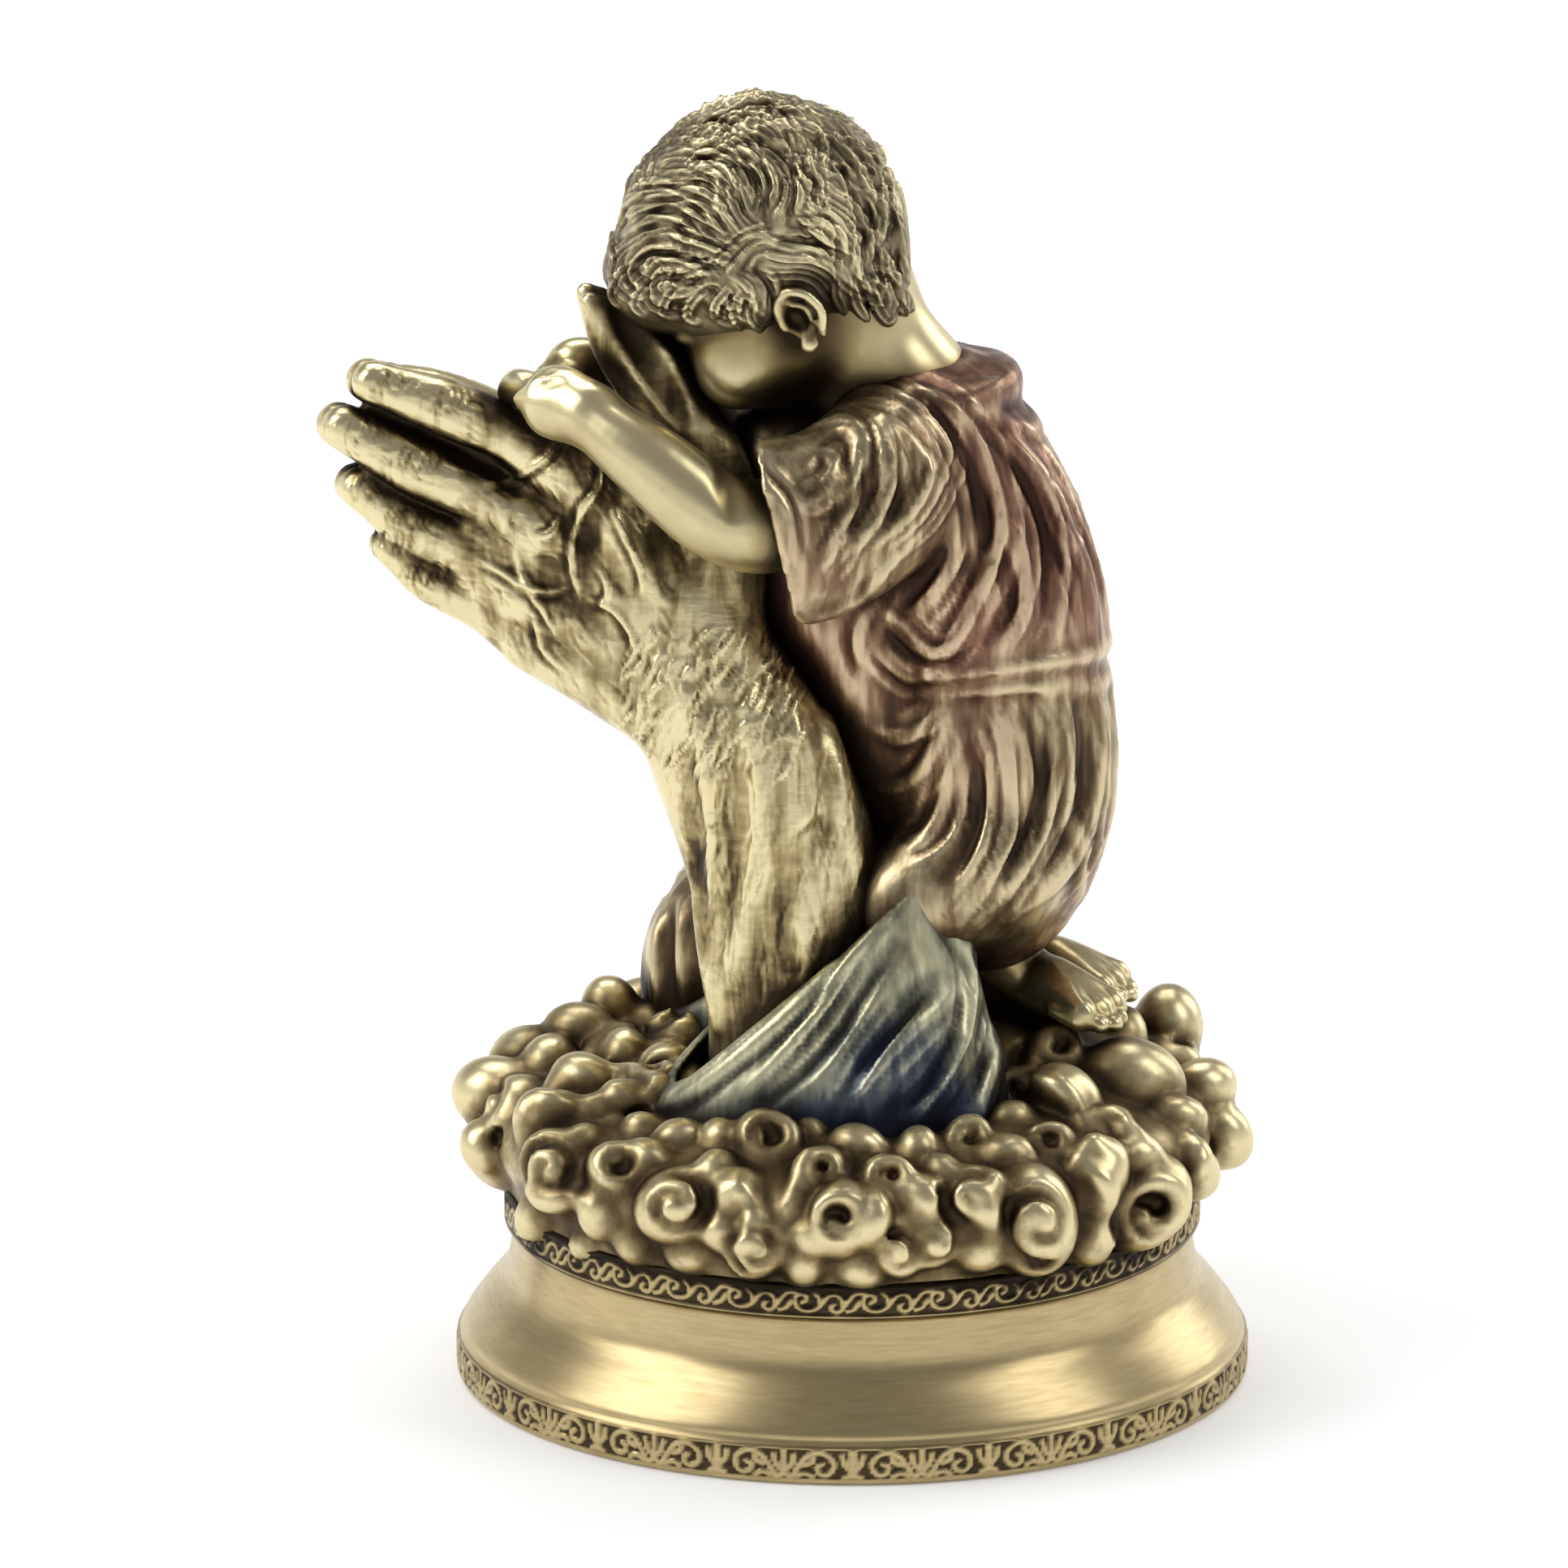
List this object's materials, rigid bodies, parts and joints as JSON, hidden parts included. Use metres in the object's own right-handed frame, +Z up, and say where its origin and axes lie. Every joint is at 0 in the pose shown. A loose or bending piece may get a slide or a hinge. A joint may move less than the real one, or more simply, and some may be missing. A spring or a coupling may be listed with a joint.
{
  "type": "praying hands statue",
  "caption": "Bronze-finished statue of large praying hands with a kneeling child leaning on them, on a bank of curled cloud and a turned round base.",
  "frame": {"origin": "middle of the round base's flat underside", "axes": "+Z up; the large hands point along -X; the side facing -Y is the one in the picture"},
  "size_m": [0.1367, 0.1156, 0.1937],
  "materials": {
    "bronze": "antiqued cold-cast bronze: dark recesses, burnished ridges, copper tint on the child's robe, blue-grey tint on the large sleeves"
  },
  "bodies": {
    "root": {"statue": "bronze"}
  },
  "joints": []
}
